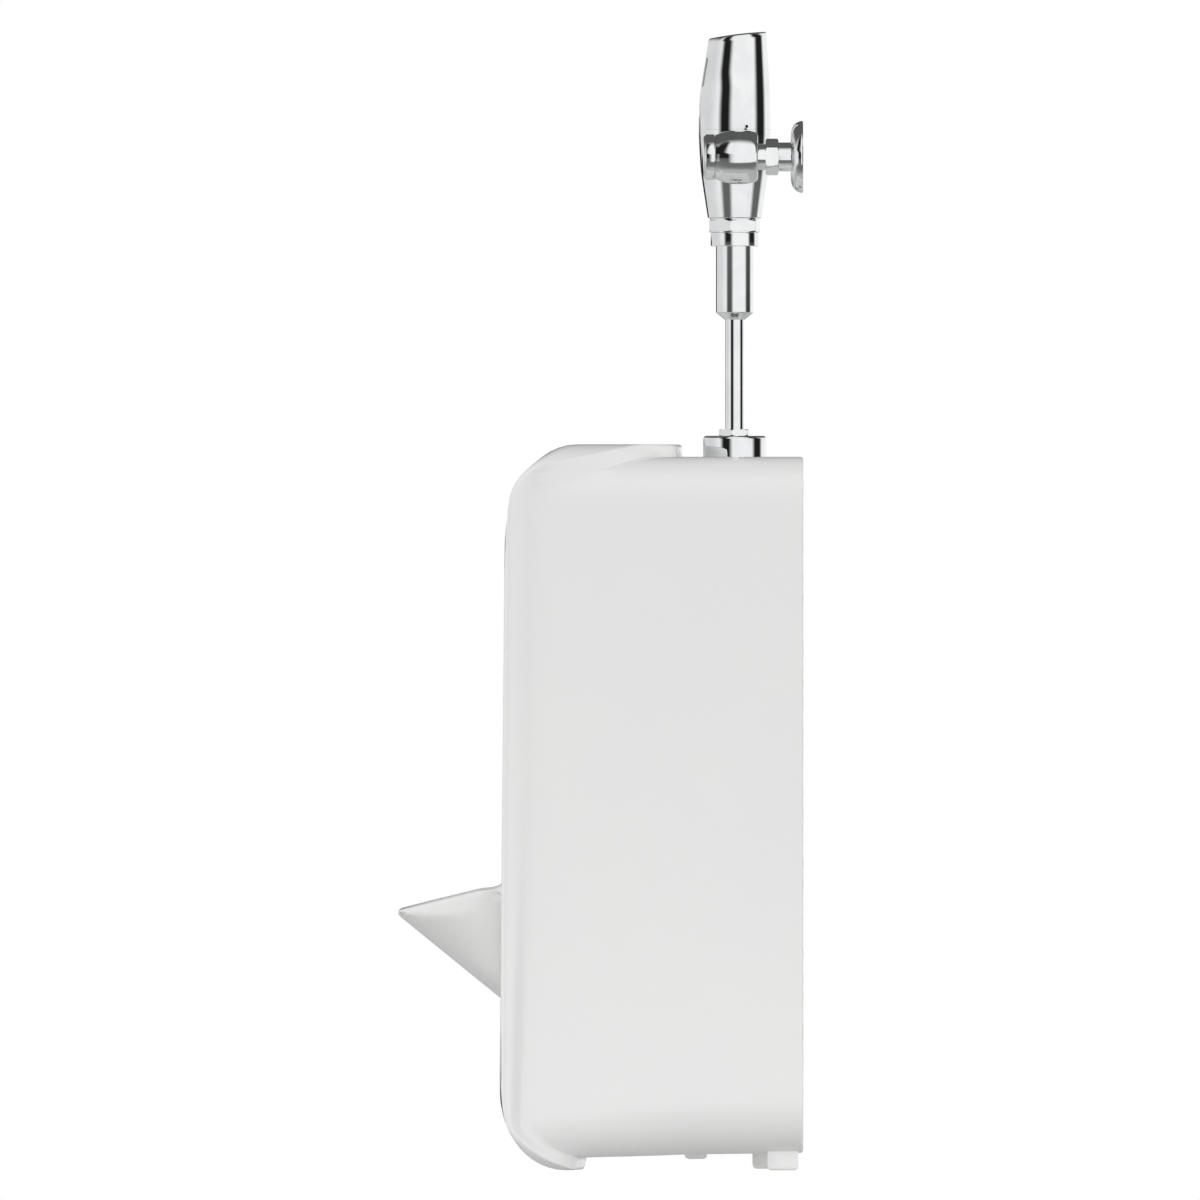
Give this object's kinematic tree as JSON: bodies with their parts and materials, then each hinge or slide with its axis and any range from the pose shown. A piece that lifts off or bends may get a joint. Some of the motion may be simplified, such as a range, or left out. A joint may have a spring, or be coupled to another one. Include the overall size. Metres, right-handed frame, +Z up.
{
  "type": "wall-hung urinal",
  "caption": "Wall-hung white china washdown urinal with a projecting lip, a chrome sensor flush valve on top, and a control stop with a wall flange.",
  "frame": {"origin": "centre of the waste outlet in the plane of the wall", "axes": "+Y into the wall along the waste outlet, +Z up, +X to the right of someone facing the urinal"},
  "size_m": [0.46, 0.4056, 1.1394],
  "materials": {
    "china": "glossy white glaze",
    "chrome": "polished chrome plate",
    "brass": "as machined",
    "steel": "satin",
    "rubber": "matte",
    "grey_plastic": "matte",
    "dark_plastic": "matte",
    "circuit_board": "satin",
    "sensor_window": "smoked gloss"
  },
  "bodies": {
    "root": {"china_body": "china", "drain_strainer": "steel", "strainer_gasket": "rubber", "strainer_screws": "steel", "outlet_flange": "brass", "outlet_gasket": "rubber", "outlet_bolts": "brass", "outlet_nuts": "brass", "wall_hanger_left": "steel", "wall_hanger_right": "steel", "spud": "brass", "spud_seal": "rubber", "spud_washer": "rubber", "spud_locknut": "brass", "spud_cover": "chrome", "slip_nut": "chrome", "slip_gasket": "rubber", "flush_tube": "chrome", "vacuum_breaker_tube": "chrome", "breaker_sack": "rubber", "breaker_cage": "grey_plastic", "breaker_collar": "chrome", "coupling_nut": "chrome", "valve_body": "chrome", "inner_cover": "brass", "inner_cover_screws": "steel", "solenoid_coil": "dark_plastic", "plunger_spring": "steel", "chassis": "grey_plastic", "sensor_module": "dark_plastic", "circuit_board": "circuit_board", "battery_pack": "grey_plastic", "sensor_window": "sensor_window", "top_cover": "chrome", "cover_screws": "steel", "button_spring": "steel", "tailpiece": "chrome", "tailpiece_nut": "chrome", "tailpiece_ring": "rubber", "stop_body": "chrome", "stop_bonnet": "brass", "stop_spring": "steel", "stop_cap": "chrome", "supply_nut": "chrome", "supply_adapter": "brass", "supply_sleeve": "chrome", "wall_flange": "chrome", "flange_screw": "steel"},
    "piston": {"flush_piston": "brass", "piston_seal": "rubber"},
    "plunger": {"solenoid_plunger": "steel"},
    "button": {"override_button": "chrome"},
    "stop_stem": {"stop_screw": "brass"},
    "poppet": {"stop_poppet": "brass"}
  },
  "joints": [
    {"name": "piston_lift", "type": "slide", "parent": "root", "child": "piston", "axis": [0, 0, 1], "range_m": [0, 0.005]},
    {"name": "plunger_lift", "type": "slide", "parent": "root", "child": "plunger", "axis": [0, 0, 1], "range_m": [0, 0.0025], "stiffness_N_per_m": 150, "springref_m": -0.003, "deforming": ["plunger_spring"]},
    {"name": "button_push", "type": "slide", "parent": "root", "child": "button", "axis": [0, 1, 0], "range_m": [0, 0.003], "stiffness_N_per_m": 400, "springref_m": -0.002, "deforming": ["button_spring"]},
    {"name": "stop_turn", "type": "hinge", "parent": "root", "child": "stop_stem", "pos_m": [0.1205, -0.07, 0.8825], "axis": [0, 1, 0], "range_deg": [0, 1080]},
    {"name": "poppet_slide", "type": "slide", "parent": "root", "child": "poppet", "axis": [0, 1, 0], "range_m": [0, 0.0045], "deforming": ["stop_spring"]}
  ],
  "couplings": [
    {"joint": "stop_turn", "follows": "poppet_slide", "rad_per_m": 4188.8}
  ]
}
